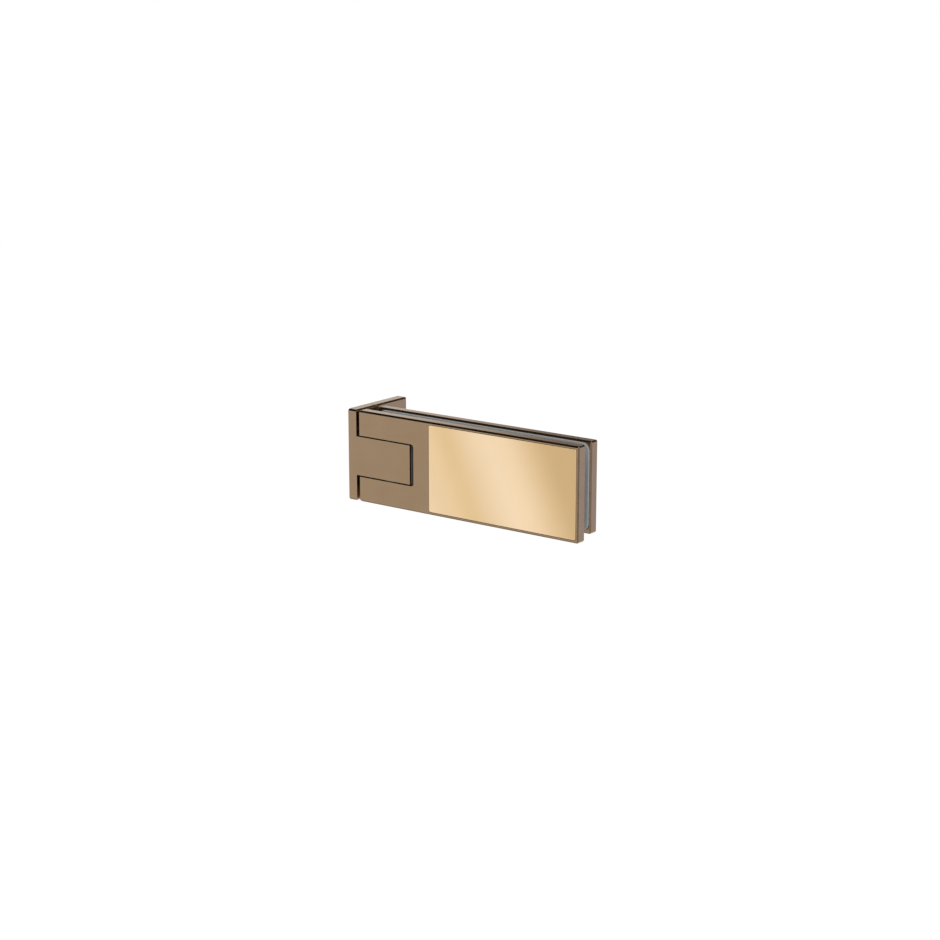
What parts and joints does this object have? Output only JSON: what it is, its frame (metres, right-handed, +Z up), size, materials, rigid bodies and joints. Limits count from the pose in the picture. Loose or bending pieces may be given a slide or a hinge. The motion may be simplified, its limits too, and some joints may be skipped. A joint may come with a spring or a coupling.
{
  "type": "lift hinge",
  "caption": "Wall-to-glass door hinge whose leaf rises on a helical cam as it swings open, with a long clamp plate, a polished cover and a flush knuckle tongue.",
  "frame": {"origin": "on the wall face, in the middle of the glass slot and at mid-height", "axes": "+X out from the wall along the leaf, +Y to the rear, +Z up"},
  "size_m": [0.1375, 0.04, 0.046],
  "materials": {
    "satin_bronze": "satin bronze plating with a fine brushed grain",
    "polished_gold": "mirror-polished gold plating",
    "steel": "machined stainless steel",
    "dark_plastic": "moulded dark grey plastic",
    "pad_grey": "smooth grey clamping pad",
    "pale_plastic": "natural moulded plastic",
    "bearing_bronze": "sintered bearing bronze"
  },
  "bodies": {
    "wall": {"wall_plate": "satin_bronze", "guide_rails": "steel", "guide_rail_screws": "steel", "fixed_lift_cam": "steel", "cam_foot_screws": "steel"},
    "carrier": {"knuckle_carrier": "satin_bronze", "knuckle_sleeve": "dark_plastic", "knuckle_rear_cover": "satin_bronze", "rear_cover_screws": "steel", "upper_bush": "bearing_bronze", "lower_bush": "bearing_bronze"},
    "leaf": {"front_plate": "satin_bronze", "cover_plate": "polished_gold", "cover_magnets": "steel", "rear_plate": "satin_bronze", "front_pad": "pad_grey", "rear_pad": "pad_grey", "clamp_screws": "steel", "screw_sleeves": "pale_plastic", "pivot_pin": "steel", "lift_collar": "steel", "collar_dowel": "steel", "pin_grub_screws": "steel", "thrust_washers": "pale_plastic"}
  },
  "joints": [
    {"name": "carrier_lift", "type": "slide", "parent": "wall", "child": "carrier", "axis": [0, 0, 1], "range_m": [0, 0.0045]},
    {"name": "leaf_swing", "type": "hinge", "parent": "carrier", "child": "leaf", "pos_m": [0.02405, -0.0025, 0], "axis": [0, 0, -1], "range_deg": [0, 90]}
  ],
  "couplings": [
    {"joint": "carrier_lift", "follows": "leaf_swing", "m_per_rad": 0.0028647}
  ]
}
